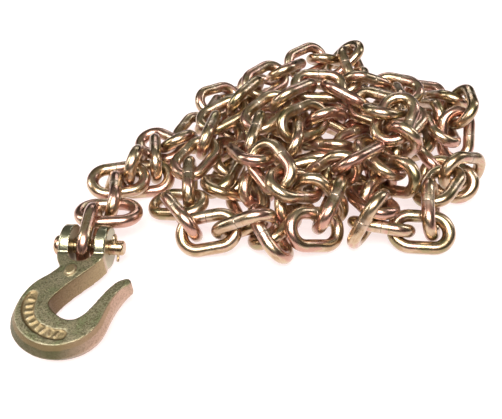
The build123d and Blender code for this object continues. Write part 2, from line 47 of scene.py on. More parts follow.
# ------------------------------------------------------------------ the lie of the chain
# centre x, y, z in mm, unit vector along the link, unit vector across its flat width
LIE = [
    (-138.30, -78.34, 18.84, 0.05666, 0.97000, 0.23641, 0.09751, -0.24104, 0.96561),
    (-128.87, -54.88, 18.98, 0.97810, 0.18344, -0.09835, 0.19382, -0.97495, 0.10909),
    (-130.97, -33.30, 16.36, -0.13866, 0.99013, -0.02050, -0.38961, -0.07357, -0.91804),
    (-128.22, -13.68, 18.60, 0.94998, 0.30900, -0.04543, 0.27945, -0.90589, -0.31822),
    (-116.40, 1.26, 22.19, 0.03711, -0.75576, 0.65380, -0.28755, -0.63465, -0.71731),
    (-110.25, -1.50, 10.73, 0.99604, 0.06933, 0.05564, 0.08673, -0.89528, -0.43699),
    (-102.82, 18.51, 17.16, -0.13758, 0.99048, -0.00420, -0.06343, -0.01305, -0.99790),
    (-100.28, 35.85, 18.15, 0.79908, -0.60122, 0.00031, -0.58216, -0.77388, -0.24940),
    (-84.95, 40.33, 18.77, 0.04445, 0.80020, -0.59809, -0.88160, -0.25018, -0.40025),
    (-73.03, 63.58, 13.91, 0.38955, 0.91332, 0.11874, 0.86743, -0.32050, -0.38059),
    (-62.06, 90.36, 16.63, 0.23814, 0.96817, -0.07707, -0.43250, 0.03466, -0.90097),
    (-53.34, 112.33, 19.27, 0.77292, 0.62840, -0.08777, 0.43722, -0.62773, -0.64405),
    (-34.35, 130.44, 16.64, 0.51088, 0.84244, -0.17116, -0.83301, 0.43595, -0.34064),
    (-11.44, 139.92, 14.74, 0.97646, -0.05486, -0.20859, -0.17711, -0.75588, -0.63030),
    (12.94, 139.00, 11.82, 0.99843, 0.01511, -0.05391, -0.04084, 0.85522, -0.51666),
    (41.19, 133.98, 12.37, 0.94578, -0.32480, -0.00103, -0.26012, -0.75552, -0.60127),
    (64.30, 119.62, 10.75, 0.68377, -0.72969, 0.00129, 0.64564, 0.60418, -0.46703),
    (71.16, 99.06, 13.91, 0.00950, -0.99995, 0.00218, -0.68228, -0.00807, -0.73105),
    (61.21, 81.78, 14.00, -0.93016, 0.07478, 0.35945, 0.20707, 0.91532, 0.34543),
    (44.55, 89.86, 20.54, -0.82297, 0.39445, -0.40882, 0.39448, -0.12104, -0.91090),
    (22.71, 90.80, 13.36, -0.53390, -0.74620, -0.39766, 0.83617, -0.53580, -0.11723),
    (2.94, 95.37, 12.43, -0.86099, 0.50350, 0.07196, 0.38193, 0.73347, -0.56228),
    (-13.94, 88.52, 17.37, -0.88522, -0.38705, -0.25803, -0.01956, 0.58518, -0.81067),
    (-35.65, 74.73, 17.33, -0.62116, -0.78339, 0.02115, -0.64712, 0.52796, 0.55000),
    (-39.95, 48.23, 14.75, 0.16254, -0.98670, 0.00199, -0.59129, -0.09902, -0.80036),
    (-41.14, 25.34, 11.92, -0.04468, -0.99739, -0.05671, -0.85116, 0.00829, 0.52484),
    (-44.84, -1.51, 12.33, -0.28744, -0.95776, 0.00830, -0.77145, 0.22637, -0.59466),
    (-39.46, -17.92, 13.72, 0.85133, 0.32212, -0.41410, 0.40680, -0.90373, 0.13334),
    (-24.98, -32.29, 11.87, 0.32823, -0.94438, 0.02045, -0.78663, -0.28526, -0.54757),
    (-14.69, -17.95, 16.92, 0.56003, 0.82214, -0.10229, 0.34809, -0.34554, -0.87146),
    (4.04, 0.22, 11.11, 0.95466, 0.29753, 0.01028, -0.25469, 0.83410, -0.48930),
    (28.25, 4.73, 13.43, 0.97563, 0.17255, 0.13556, 0.21700, -0.85041, -0.47929),
    (51.39, -1.56, 14.21, 0.84091, -0.53641, 0.07162, 0.42233, 0.56773, -0.70663),
    (71.08, -4.13, 11.35, 0.76847, 0.63203, 0.09994, 0.60244, -0.66199, -0.44591),
    (77.37, 19.06, 16.61, 0.07285, 0.99734, -0.00194, 0.29373, -0.02332, -0.95561),
    (69.49, 31.00, 22.50, -0.87995, -0.46150, -0.11272, 0.42100, -0.64758, -0.63514),
    (43.08, 30.01, 20.03, -0.83525, 0.44686, -0.32043, 0.53813, 0.54448, -0.64340),
    (17.80, 38.04, 12.35, -0.94891, 0.08016, -0.30519, -0.00006, -0.96724, -0.25388),
    (0.84, 47.08, 13.53, -0.90312, -0.12614, 0.41044, -0.18301, 0.97778, -0.10221),
    (-12.50, 57.19, 22.78, 0.40820, 0.65730, 0.63351, 0.86318, -0.50378, -0.03349),
    (5.24, 48.62, 28.37, 0.49292, -0.84529, 0.20619, 0.85862, 0.43425, -0.27239),
    (11.00, 21.27, 34.54, -0.04411, -0.99845, 0.03400, -0.44638, -0.01075, -0.89478),
    (21.29, 32.43, 44.30, 0.84141, 0.53665, 0.06358, 0.38652, -0.51542, -0.76482),
    (42.34, 47.58, 37.14, 0.44444, 0.68191, -0.58092, -0.83660, 0.08412, -0.54131),
    (58.53, 59.98, 29.89, 0.88141, -0.22501, -0.41531, -0.32159, -0.92986, -0.17871),
    (84.47, 64.94, 23.52, 0.91064, 0.39321, -0.12696, -0.33760, 0.53085, -0.77732),
    (100.73, 85.25, 14.90, 0.26915, 0.95659, -0.11181, 0.62863, -0.26244, -0.73208),
    (109.01, 112.73, 18.43, 0.44929, 0.78486, 0.42677, -0.41088, 0.60571, -0.68139),
    (125.71, 131.27, 22.68, 0.96433, 0.12108, -0.23540, 0.04984, -0.95640, -0.28776),
    (144.37, 115.49, 19.50, 0.58650, -0.76133, 0.27639, -0.16809, -0.44823, -0.87797),
    (158.12, 92.28, 29.73, 0.22945, -0.84015, 0.49142, -0.86743, 0.05250, 0.49478),
    (162.03, 65.55, 39.58, -0.07563, -0.99630, -0.04092, -0.55474, 0.07614, -0.82853),
    (156.29, 45.25, 23.01, 0.01277, -0.52853, -0.84882, -0.99516, -0.08945, 0.04073),
    (144.90, 52.58, 24.73, 0.01074, 0.99780, -0.06547, -0.90078, 0.03808, 0.43260),
    (142.15, 78.74, 21.14, -0.11274, 0.87495, -0.47090, -0.10682, 0.46050, 0.88121),
    (139.12, 68.81, 12.83, -0.91662, -0.36178, 0.17004, 0.23460, -0.83126, -0.50396),
    (124.31, 48.27, 12.68, -0.11743, -0.98914, 0.08838, -0.82249, 0.04700, -0.56684),
    (127.32, 19.99, 16.16, 0.18406, -0.97991, 0.07679, 0.67046, 0.06804, -0.73882),
    (138.96, -5.18, 13.47, 0.73477, -0.67816, -0.01433, -0.50153, -0.52892, -0.68463),
    (146.48, -10.01, 24.88, -0.81043, -0.45588, 0.36794, -0.28869, -0.23573, -0.92795),
    (123.88, -27.64, 23.70, -0.59492, -0.78846, -0.15624, -0.73365, 0.61206, -0.29520),
    (112.93, -51.70, 20.10, -0.10976, -0.89571, -0.43087, 0.41716, 0.35195, -0.83792),
    (103.61, -67.58, 11.60, -0.99692, 0.07789, 0.00931, -0.07103, -0.84594, -0.52853),
    (74.67, -62.80, 12.58, -0.96686, 0.25531, -0.00198, 0.19964, 0.75119, -0.62918),
    (63.14, -67.87, 24.35, 0.41331, 0.24008, 0.87837, 0.47735, 0.76433, -0.43352),
    (68.64, -48.19, 24.63, -0.31331, 0.92557, -0.21252, -0.94077, -0.27197, 0.20247),
    (77.44, -28.18, 17.47, 0.63683, 0.76807, -0.06723, 0.10730, -0.17463, -0.97877),
    (88.68, -24.91, 30.84, 0.56349, -0.71540, 0.41313, 0.12377, -0.42133, -0.89842),
    (78.66, -11.29, 38.32, -0.57934, 0.78925, 0.20359, 0.73181, 0.61365, -0.29645),
    (60.18, -18.52, 43.13, -0.73517, -0.67427, 0.06990, -0.46598, 0.42778, -0.77451),
    (40.70, -21.50, 30.63, -0.71112, 0.13800, -0.68940, 0.67627, -0.13389, -0.72438),
    (17.00, -19.78, 24.98, -0.96868, -0.18949, -0.16047, -0.24545, 0.82846, 0.50339),
    (8.27, -37.97, 16.75, -0.21650, -0.96394, -0.15473, 0.51620, 0.02150, -0.85620),
    (-3.92, -63.59, 12.98, -0.66737, -0.72466, -0.17170, 0.56649, -0.64363, 0.51462),
    (-8.29, -75.92, 17.57, -0.47748, 0.76332, 0.43515, 0.49483, 0.64285, -0.58471),
    (-27.25, -73.72, 24.14, -0.87912, 0.07025, -0.47139, 0.42880, 0.54827, -0.71801),
    (-53.41, -71.75, 14.73, -0.97155, 0.00744, -0.23673, 0.13776, -0.79528, -0.59038),
    (-74.68, -55.72, 16.61, -0.54502, 0.83763, 0.03634, 0.29111, 0.22971, -0.92870),
    (-78.56, -38.45, 13.90, 0.91332, -0.32454, 0.24601, -0.32496, -0.94488, -0.04005),
    (-70.56, -20.55, 19.10, -0.04000, 0.96681, 0.25234, 0.03124, 0.25363, -0.96680),
    (-67.57, 7.32, 25.39, 0.52917, 0.82630, 0.19289, 0.84721, -0.52713, -0.06612),
    (-58.01, 34.85, 30.07, 0.23349, 0.96953, 0.07411, -0.23402, 0.13001, -0.96350),
    (-46.93, 59.22, 35.06, 0.84317, 0.49102, 0.21902, 0.52864, -0.83139, -0.17126),
    (-27.55, 80.32, 40.89, 0.57540, 0.81079, 0.10740, -0.23540, 0.28994, -0.92764),
    (-8.90, 103.39, 45.05, 0.71177, 0.69682, 0.08851, 0.62307, -0.56815, -0.53758),
    (11.30, 124.55, 44.14, 0.48949, 0.83411, -0.25428, -0.74555, 0.24907, -0.61816),
    (31.75, 145.69, 43.16, 0.76512, 0.64124, 0.05839, 0.50949, -0.54747, -0.66386),
    (55.50, 159.49, 36.65, -0.74217, -0.52059, 0.42210, 0.66405, -0.65641, 0.35801),
    (68.49, 153.68, 40.38, 0.68925, 0.43603, 0.57863, 0.40425, -0.89421, 0.19230),
    (77.05, 138.00, 40.84, 0.23183, -0.90002, -0.36908, 0.72755, 0.41227, -0.54836),
    (70.31, 111.69, 37.95, -0.44087, -0.89346, -0.08581, -0.74258, 0.41678, -0.52428),
    (84.42, 101.87, 41.67, 0.92411, 0.12187, -0.36218, -0.36043, 0.59283, -0.72017),
    (110.65, 93.74, 40.89, 0.85534, -0.51803, 0.00613, -0.47590, -0.79033, -0.38587),
    (111.56, 72.22, 38.98, -0.02491, -0.98617, 0.16386, 0.31938, -0.16317, -0.93347),
    (108.90, 45.67, 35.65, -0.60937, -0.77509, -0.16702, -0.79288, 0.59653, 0.12447),
    (99.35, 20.18, 28.06, -0.16462, -0.93690, -0.30840, 0.19832, 0.27484, -0.94081),
    (96.67, 5.75, 43.46, 0.11009, -0.61513, 0.78071, -0.76652, 0.44748, 0.46066),
    (92.43, 15.65, 57.32, 0.41013, 0.77211, 0.48544, -0.88123, 0.47263, -0.00721),
    (88.42, 28.75, 56.25, 0.71051, 0.59176, -0.38079, 0.68313, -0.70989, 0.17146),
    (81.73, 47.46, 49.72, -0.66374, 0.73222, -0.15264, -0.49588, -0.58357, -0.64308),
    (60.13, 66.75, 49.40, -0.83370, 0.50031, 0.23375, 0.28114, 0.74887, -0.60012),
    (37.15, 75.61, 54.13, -0.99916, -0.00627, 0.04048, -0.01229, -0.89684, -0.44219),
    (14.34, 61.47, 52.34, -0.74244, -0.66939, 0.02660, -0.36625, 0.37233, -0.85278),
    (-8.57, 44.33, 46.68, -0.72593, -0.62238, -0.29269, 0.68363, -0.69958, -0.20794),
    (-19.65, 19.13, 37.95, -0.24810, -0.93547, -0.25169, -0.08856, 0.28063, -0.95572),
    (-22.23, -7.99, 40.94, 0.36142, -0.89148, 0.27321, 0.92990, 0.32318, -0.17559),
    (-7.04, -29.73, 43.57, 0.49219, -0.85206, -0.17816, -0.67119, -0.24114, -0.70096),
    (9.59, -43.23, 36.15, 0.81693, 0.44406, -0.36802, -0.37783, 0.89417, 0.24021),
    (29.61, -43.77, 22.66, 0.69754, -0.23234, -0.67784, -0.68205, 0.07469, -0.72748),
    (36.02, -53.86, 26.25, -0.40826, -0.85452, -0.32112, -0.19506, 0.42531, -0.88378),
    (23.98, -72.43, 18.31, -0.87782, -0.35253, 0.32429, 0.04982, -0.74054, -0.67017),
]
NODES = [
    ("chain_link_01", 0, 0),
    ("chain_link_02", 1, 1),
    ("chain_link_03", 2, 2),
    ("chain_link_04", 3, 3),
    ("chain_link_05", 4, 4),
    ("chain_link_06", 5, 5),
    ("chain_link_07", 6, 6),
    ("chain_link_08", 7, 7),
    ("chain_link_09", 8, 8),
    ("chain_links_10_12", 9, 11),
    ("chain_links_13_15", 12, 14),
    ("chain_links_16_18", 15, 17),
    ("chain_links_19_21", 18, 20),
    ("chain_links_22_24", 21, 23),
    ("chain_links_25_27", 24, 26),
    ("chain_links_28_29", 27, 28),
    ("chain_links_30_31", 29, 30),
    ("chain_links_32_33", 31, 32),
    ("chain_links_34_35", 33, 34),
    ("chain_links_36_37", 35, 36),
    ("chain_links_38_39", 37, 38),
    ("chain_links_40_41", 39, 40),
    ("chain_links_42_43", 41, 42),
    ("chain_links_44_45", 43, 44),
    ("chain_links_46_47", 45, 46),
    ("chain_links_48_49", 47, 48),
    ("chain_links_50_51", 49, 50),
    ("chain_links_52_53", 51, 52),
    ("chain_links_54_55", 53, 54),
    ("chain_links_56_57", 55, 56),
    ("chain_links_58_59", 57, 58),
    ("chain_links_60_61", 59, 60),
    ("chain_links_62_63", 61, 62),
    ("chain_links_64_65", 63, 64),
    ("chain_links_66_67", 65, 66),
    ("chain_links_68_69", 67, 68),
    ("chain_links_70_71", 69, 70),
    ("chain_links_72_73", 71, 72),
    ("chain_links_74_75", 73, 74),
    ("chain_links_76_77", 75, 76),
    ("chain_links_78_79", 77, 78),
    ("chain_links_80_81", 79, 80),
    ("chain_links_82_83", 81, 82),
    ("chain_links_84_85", 83, 84),
    ("chain_links_86_87", 85, 86),
    ("chain_links_88_89", 87, 88),
    ("chain_links_90_91", 89, 90),
    ("chain_links_92_93", 91, 92),
    ("chain_links_94_95", 93, 94),
    ("chain_links_96_97", 95, 96),
    ("chain_links_98_99", 97, 98),
    ("chain_links_100_101", 99, 100),
    ("chain_links_102_103", 101, 102),
    ("chain_links_104_105", 103, 104),
    ("chain_links_106_107", 105, 106),
    ("chain_links_108_109", 107, 108),
    ("chain_links_110_111", 109, 110),
]
HOOK_ORIGIN = (-138.22, -87.54, 15.57)
HOOK_YAW = -4.0
HOOK_TILT = 4.615

R_WIRE = 4.9
R_BEND = 12.0
X_BEND = 8.5


# ------------------------------------------------------------------ node helpers
def new_material(name):
    m = bpy.data.materials.new(name)
    m.use_nodes = True
    nt = m.node_tree
    nt.nodes.clear()
    out = nt.nodes.new("ShaderNodeOutputMaterial")
    bsdf = nt.nodes.new("ShaderNodeBsdfPrincipled")
    nt.links.new(bsdf.outputs[0], out.inputs[0])
    return m, nt, bsdf


def add(nt, kind, **props):
    n = nt.nodes.new(kind)
    for k, v in props.items():
        setattr(n, k, v)
    return n


def link(nt, a, b):
    nt.links.new(a, b)


def noise_tex(nt, vec, scale, detail=3.0, rough=0.55, distortion=0.0):
    n = add(nt, "ShaderNodeTexNoise")
    n.inputs["Scale"].default_value = scale
    n.inputs["Detail"].default_value = detail
    n.inputs["Roughness"].default_value = rough
    n.inputs["Distortion"].default_value = distortion
    link(nt, vec, n.inputs["Vector"])
    return n.outputs["Fac"]


def ramp(nt, fac, stops, interp="EASE"):
    r = add(nt, "ShaderNodeValToRGB")
    cr = r.color_ramp
    cr.interpolation = interp
    while len(cr.elements) > 1:
        cr.elements.remove(cr.elements[-1])
    cr.elements[0].position = stops[0][0]
    cr.elements[0].color = stops[0][1]
    for p, c in stops[1:]:
        e = cr.elements.new(p)
        e.color = c
    link(nt, fac, r.inputs["Fac"])
    return r.outputs["Color"]


def grey(v):
    return (v, v, v, 1.0)


def mapping(nt, vec, scale=(1, 1, 1), loc=(0, 0, 0)):
    m = add(nt, "ShaderNodeMapping")
    m.inputs["Scale"].default_value = scale
    m.inputs["Location"].default_value = loc
    link(nt, vec, m.inputs["Vector"])
    return m.outputs[0]


def mix_rgb(nt, fac, a, b, mode="MIX"):
    m = add(nt, "ShaderNodeMix", data_type="RGBA", blend_type=mode)
    if isinstance(fac, (int, float)):
        m.inputs[0].default_value = fac
    else:
        link(nt, fac, m.inputs[0])
    for sock, v in ((m.inputs[6], a), (m.inputs[7], b)):
        if isinstance(v, tuple):
            sock.default_value = v
        else:
            link(nt, v, sock)
    return m.outputs[2]


def math_node(nt, op, a, b=None, clamp=False):
    m = add(nt, "ShaderNodeMath", operation=op, use_clamp=clamp)
    for sock, v in ((m.inputs[0], a), (m.inputs[1], b)):
        if v is None:
            continue
        if isinstance(v, (int, float)):
            sock.default_value = v
        else:
            link(nt, v, sock)
    return m.outputs[0]


def map_range(nt, v, lo, hi, a, b):
    m = add(nt, "ShaderNodeMapRange")
    m.inputs[1].default_value = lo
    m.inputs[2].default_value = hi
    m.inputs[3].default_value = a
    m.inputs[4].default_value = b
    link(nt, v, m.inputs[0])
    return m.outputs[0]


def bump(nt, height, strength, dist, normal=None):
    b = add(nt, "ShaderNodeBump")
    b.inputs["Strength"].default_value = strength
    b.inputs["Distance"].default_value = dist
    link(nt, height, b.inputs["Height"])
    if normal is not None:
        link(nt, normal, b.inputs["Normal"])
    return b.outputs[0]


# ------------------------------------------------------------------ materials: yellow chromate over zinc
def chain_material():
    """Bright zinc with a yellow chromate film: gold, drifting to olive, rose and pale straw."""
    m, nt, bsdf = new_material("chromate_wire")
    wire = add(nt, "ShaderNodeAttribute", attribute_name="wire")      # wire laid out straight, mm
    weld = add(nt, "ShaderNodeAttribute", attribute_name="weld")      # distance from the weld, mm
    tone = add(nt, "ShaderNodeAttribute", attribute_name="tone")      # one number for each link
    v = wire.outputs["Vector"]
    patch = noise_tex(nt, mapping(nt, v, (0.06, 0.12, 0.12)), 1.0, 3.0, 0.6)
    patch = math_node(nt, "ADD", patch, math_node(nt, "MULTIPLY", tone.outputs["Fac"], 0.22))
    col = ramp(nt, patch, [(0.42, OLIVE), (0.52, GOLD), (0.60, STRAW), (0.70, ROSE)])
    streak = noise_tex(nt, mapping(nt, v, (0.06, 0.9, 0.9), (7, 3, 1)), 1.0, 4.0, 0.65)
    col = mix_rgb(nt, map_range(nt, streak, 0.45, 0.75, 0.0, 0.35), col, ROSE_DEEP)
    speck = noise_tex(nt, mapping(nt, v, (0.8, 1.1, 1.1), (1, 9, 4)), 1.0, 5.0, 0.7)
    col = mix_rgb(nt, map_range(nt, speck, 0.62, 0.80, 0.0, 0.30), col, DIM)
    # the trimmed weld: a paler, duller band with a dark ring in the middle
    dist = weld.outputs["Fac"]
    wob = math_node(nt, "MULTIPLY", math_node(nt, "SUBTRACT", noise_tex(nt, mapping(nt, v, (0.5, 0.5, 0.5)), 1.0, 2.0), 0.5), 2.4)
    dd = math_node(nt, "ADD", dist, wob)
    band = map_range(nt, dd, 2.2, 4.8, 0.40, 0.0)
    col = mix_rgb(nt, band, col, PALE)
    ring = map_range(nt, dist, 0.10, 0.42, 0.75, 0.0)
    col = mix_rgb(nt, ring, col, DARK)
    link(nt, col, bsdf.inputs["Base Color"])
    bsdf.inputs["Metallic"].default_value = 1.0
    bsdf.inputs["Coat Weight"].default_value = 0.7
    bsdf.inputs["Coat Roughness"].default_value = 0.22
    bsdf.inputs["Coat IOR"].default_value = 1.7
    rough = map_range(nt, streak, 0.3, 0.8, 0.25, 0.33)
    rough = math_node(nt, "ADD", rough, math_node(nt, "MULTIPLY", band, 0.16))
    rough = math_node(nt, "ADD", rough, map_range(nt, speck, 0.5, 0.8, 0.0, 0.05), clamp=True)
    link(nt, rough, bsdf.inputs["Roughness"])
    h = math_node(nt, "ADD", math_node(nt, "MULTIPLY", streak, 0.6), math_node(nt, "MULTIPLY", speck, 0.5))
    lump = noise_tex(nt, mapping(nt, v, (0.16, 0.28, 0.28), (3, 3, 3)), 1.0, 2.0, 0.5)
    nrm = bump(nt, lump, 0.12, 0.0006)
    link(nt, bump(nt, h, 0.03, 0.0003, nrm), bsdf.inputs["Normal"])
    return m


def forging_material():
    """The same plating over the grainy skin of a drop forging: duller, greener, with a fine pebble."""
    m, nt, bsdf = new_material("chromate_forging")
    co = add(nt, "ShaderNodeTexCoord").outputs["Object"]
    mmv = mapping(nt, co, (1000, 1000, 1000))
    side = add(nt, "ShaderNodeAttribute", attribute_name="flank_shade").outputs["Fac"]   # 0 faces, 1 flanks, which take painted shade
    pit = add(nt, "ShaderNodeAttribute", attribute_name="sunk").outputs["Fac"]     # in the sunk panel
    edge = add(nt, "ShaderNodeAttribute", attribute_name="crest").outputs["Fac"]   # outer edges: smoother, and painted with highlight or shade
    big = noise_tex(nt, mmv, 0.10, 3.0, 0.6)
    col = ramp(nt, big, [(0.34, F_GREEN), (0.50, F_GOLD), (0.66, F_STRAW)])
    grain = noise_tex(nt, mmv, 0.80, 5.0, 0.78)
    col = mix_rgb(nt, map_range(nt, grain, 0.46, 0.58, 0.0, 0.88), col, F_DIM)
    fleck = noise_tex(nt, mapping(nt, mmv, loc=(11, 5, 2)), 0.8, 5.0, 0.7)
    col = mix_rgb(nt, map_range(nt, fleck, 0.58, 0.70, 0.0, 0.4), col, F_ROSE)
    rosy_lit = add(nt, "ShaderNodeAttribute", attribute_name="rosy_lit").outputs["Fac"]    # outer flank beside the tip, painted with pinkish light
    inner = add(nt, "ShaderNodeAttribute", attribute_name="inner").outputs["Fac"]  # wall of the throat, painted in deep shade
    ear = add(nt, "ShaderNodeAttribute", attribute_name="ear").outputs["Fac"]      # smoother clevis ears, given a paler painted highlight
    # painted shade on the flanks, set by which way they face: dark olive on most of them
    flank_shade_col = mix_rgb(nt, map_range(nt, big, 0.35, 0.65, 0.0, 1.0), F_FLANK_SHADE, F_FLANK_SHADE_2)
    # painted pinkish light on the outer flank beside the tip
    flank_shade_col = mix_rgb(nt, rosy_lit, flank_shade_col, F_FLANK_PINK_LIGHT)
    rise = add(nt, "ShaderNodeAttribute", attribute_name="rise").outputs["Fac"]    # up the throat's long wall, where the painted shade grows paler
    # painted shade in the throat: deep brown, paler further up the wall
    flank_shade_col = mix_rgb(nt, inner, flank_shade_col, mix_rgb(nt, rise, F_THROAT_SHADE, F_THROAT_SHADE_PALE))
    flank_shade_col = mix_rgb(nt, map_range(nt, grain, 0.48, 0.66, 0.0, 0.45), flank_shade_col, F_DIM)
    col = mix_rgb(nt, math_node(nt, "MULTIPLY", side, 0.88), col, flank_shade_col)
    # painted highlight: the ears made paler
    col = mix_rgb(nt, math_node(nt, "MULTIPLY", ear, 0.6), col, F_EAR_HIGHLIGHT)
    col = mix_rgb(nt, math_node(nt, "MULTIPLY", pit, 0.6), col, F_PIT)
    edge_lit = add(nt, "ShaderNodeAttribute", attribute_name="edge_lit").outputs["Fac"]    # which edges take a painted highlight; the rest take painted shade
    # painted highlight and painted shade along the outer edges
    col = mix_rgb(nt, math_node(nt, "MULTIPLY", edge, 0.75), col, mix_rgb(nt, edge_lit, F_SHADE, F_EDGE_HIGHLIGHT))
    link(nt, col, bsdf.inputs["Base Color"])
    bsdf.inputs["Metallic"].default_value = 1.0
    rough = map_range(nt, grain, 0.3, 0.75, 0.32, 0.50)
    rough = math_node(nt, "ADD", math_node(nt, "MULTIPLY", rough, map_range(nt, ear, 0.0, 1.0, 1.0, 0.25)),
                      math_node(nt, "MULTIPLY", ear, 0.19))
    rough = math_node(nt, "SUBTRACT", rough, math_node(nt, "MULTIPLY", edge, 0.12), clamp=True)
    link(nt, rough, bsdf.inputs["Roughness"])
    nrm = add(nt, "ShaderNodeBump")
    nrm.inputs["Distance"].default_value = 0.0007
    link(nt, grain, nrm.inputs["Height"])
    link(nt, map_range(nt, ear, 0.0, 1.0, 0.62, 0.07), nrm.inputs["Strength"])
    nrm = nrm.outputs[0]
    link(nt, bump(nt, noise_tex(nt, mmv, 4.2, 3.0, 0.7), 0.16, 0.0002, nrm), bsdf.inputs["Normal"])
    return m


def pin_material():
    m, nt, bsdf = new_material("chromate_pin")
    co = add(nt, "ShaderNodeTexCoord").outputs["Object"]
    mmv = mapping(nt, co, (1000, 1000, 1000))
    n1 = noise_tex(nt, mmv, 0.22, 3.0, 0.6)
    col = ramp(nt, n1, [(0.35, GOLD), (0.52, STRAW), (0.68, ROSE)])
    n2 = noise_tex(nt, mapping(nt, mmv, (3.0, 0.7, 0.7)), 0.8, 4.0, 0.6)
    col = mix_rgb(nt, map_range(nt, n2, 0.5, 0.75, 0.0, 0.4), col, DIM)
    link(nt, col, bsdf.inputs["Base Color"])
    bsdf.inputs["Metallic"].default_value = 1.0
    link(nt, map_range(nt, n2, 0.3, 0.75, 0.20, 0.36), bsdf.inputs["Roughness"])
    link(nt, bump(nt, n2, 0.2, 0.0002), bsdf.inputs["Normal"])
    return m


OLIVE = (0.30, 0.25, 0.112, 1)
GOLD = (0.42, 0.275, 0.15, 1)
STRAW = (0.54, 0.415, 0.26, 1)
ROSE = (0.50, 0.27, 0.20, 1)
ROSE_DEEP = (0.34, 0.18, 0.125, 1)
DIM = (0.22, 0.15, 0.09, 1)
PALE = (0.60, 0.48, 0.39, 1)
DARK = (0.20, 0.13, 0.08, 1)
F_GREEN = (0.24, 0.25, 0.13, 1)
F_GOLD = (0.31, 0.28, 0.17, 1)
F_STRAW = (0.40, 0.35, 0.23, 1)
# painted highlight on the ears
F_EAR_HIGHLIGHT = (0.48, 0.46, 0.32, 1)
F_THROAT_SHADE_PALE = (0.42, 0.32, 0.18, 1)
F_DIM = (0.10, 0.085, 0.045, 1)
F_ROSE = (0.52, 0.40, 0.28, 1)
# painted shade in the throat
F_THROAT_SHADE = (0.15, 0.085, 0.04, 1)
# painted pinkish light on the outer flank
F_FLANK_PINK_LIGHT = (0.58, 0.40, 0.31, 1)
# painted shade on the hook's side walls
F_FLANK_SHADE = (0.11, 0.115, 0.055, 1)
F_FLANK_SHADE_2 = (0.17, 0.15, 0.085, 1)
F_PIT = (0.34, 0.24, 0.12, 1)
# painted shade and painted highlight for the outer edges
F_SHADE = (0.10, 0.065, 0.035, 1)
F_EDGE_HIGHLIGHT = (0.74, 0.68, 0.52, 1)


# ------------------------------------------------------------------ links
def path_point(s):
    """Point and tangent on the link's centreline at arc length s, from the middle of the welded bar."""
    total = 4 * X_BEND + 2 * math.pi * R_BEND
    s = s % total
    if s < X_BEND:
        return (s, -R_BEND), (1, 0)
    s -= X_BEND
    if s < math.pi * R_BEND:
        a = -math.pi / 2 + s / R_BEND
        return (X_BEND + R_BEND * math.cos(a), R_BEND * math.sin(a)), (-math.sin(a), math.cos(a))
    s -= math.pi * R_BEND
    if s < 2 * X_BEND:
        return (X_BEND - s, R_BEND), (-1, 0)
    s -= 2 * X_BEND
    if s < math.pi * R_BEND:
        a = math.pi / 2 + s / R_BEND
        return (-X_BEND + R_BEND * math.cos(a), R_BEND * math.sin(a)), (-math.sin(a), math.cos(a))
    s -= math.pi * R_BEND
    return (-X_BEND + s, -R_BEND), (1, 0)


TOTAL = 4 * X_BEND + 2 * math.pi * R_BEND
AROUND = 22


def stations():
    near = [0.0, 0.18, 0.34, 0.5, 0.75, 1.1, 1.7, 2.5, 3.5, 4.8]
    far = [4.8 + (TOTAL - 9.6) * k / 62 for k in range(1, 62)]
    return [-d for d in reversed(near[1:])] + near + far


def add_link(verts, faces, wires, welds, tones, row, idx):
    c = Vector(row[0:3])
    ax = Vector(row[3:6])
    ay = Vector(row[6:9])
    az = ax.cross(ay)
    rnd = random.Random(1000 + idx)
    tone = rnd.random()
    seed = Vector((rnd.uniform(0, 400), rnd.uniform(0, 400), rnd.uniform(0, 400)))
    flat = rnd.uniform(0.0, 0.10)            # the wire is pressed a little oval in the bends
    trim = rnd.uniform(0.02, 0.12)           # step left by trimming the weld
    side = rnd.uniform(-0.5, 0.5)
    base = len(verts)
    st = stations()
    for s in st:
        (px, py), (tx, ty) = path_point(s)
        d = abs(((s + TOTAL / 2) % TOTAL) - TOTAL / 2)
        arc = 0.0 if (abs(px) <= X_BEND) else min(1.0, (abs(px) - X_BEND) / 6.0)
        for k in range(AROUND):
            a = 2 * math.pi * k / AROUND
            r = R_WIRE - 0.03
            r -= flat * arc * (0.5 + 0.5 * math.cos(2 * a))
            if d < 4.8:
                r -= 0.20 * math.exp(-(d / 0.26) ** 2)
                r -= trim * math.exp(-(d / 2.2) ** 2)
            q = Vector((s * 0.09, math.cos(a) * 0.6, math.sin(a) * 0.6)) + seed
            r += 0.03 * noise.noise(q)
            u, w = math.cos(a) * r, math.sin(a) * r
            x = px + ty * u
            y = py - tx * u
            p = c + ax * x + ay * y + az * w
            verts.append(p * MM)
            wires.append((s + seed.x, math.cos(a) * R_WIRE + seed.y, math.sin(a) * R_WIRE + seed.z))
            welds.append(d)
            tones.append(tone)
    n = len(st)
    for i in range(n):
        j = (i + 1) % n
        for k in range(AROUND):
            l = (k + 1) % AROUND
            faces.append((base + i * AROUND + k, base + j * AROUND + k, base + j * AROUND + l, base + i * AROUND + l))


def mesh_piece(name, verts, faces, material):
    me = bpy.data.meshes.new(name)
    me.from_pydata([tuple(v) for v in verts], [], faces)
    me.polygons.foreach_set("use_smooth", [True] * len(me.polygons))
    me.materials.append(material)
    me.update()
    ob = bpy.data.objects.new(name, me)
    bpy.context.scene.collection.objects.link(ob)
    return ob


def set_attr(ob, name, kind, values):
    at = ob.data.attributes.new(name, kind, "POINT")
    if kind == "FLOAT":
        at.data.foreach_set("value", values)
    else:
        at.data.foreach_set("vector", [c for v in values for c in v])


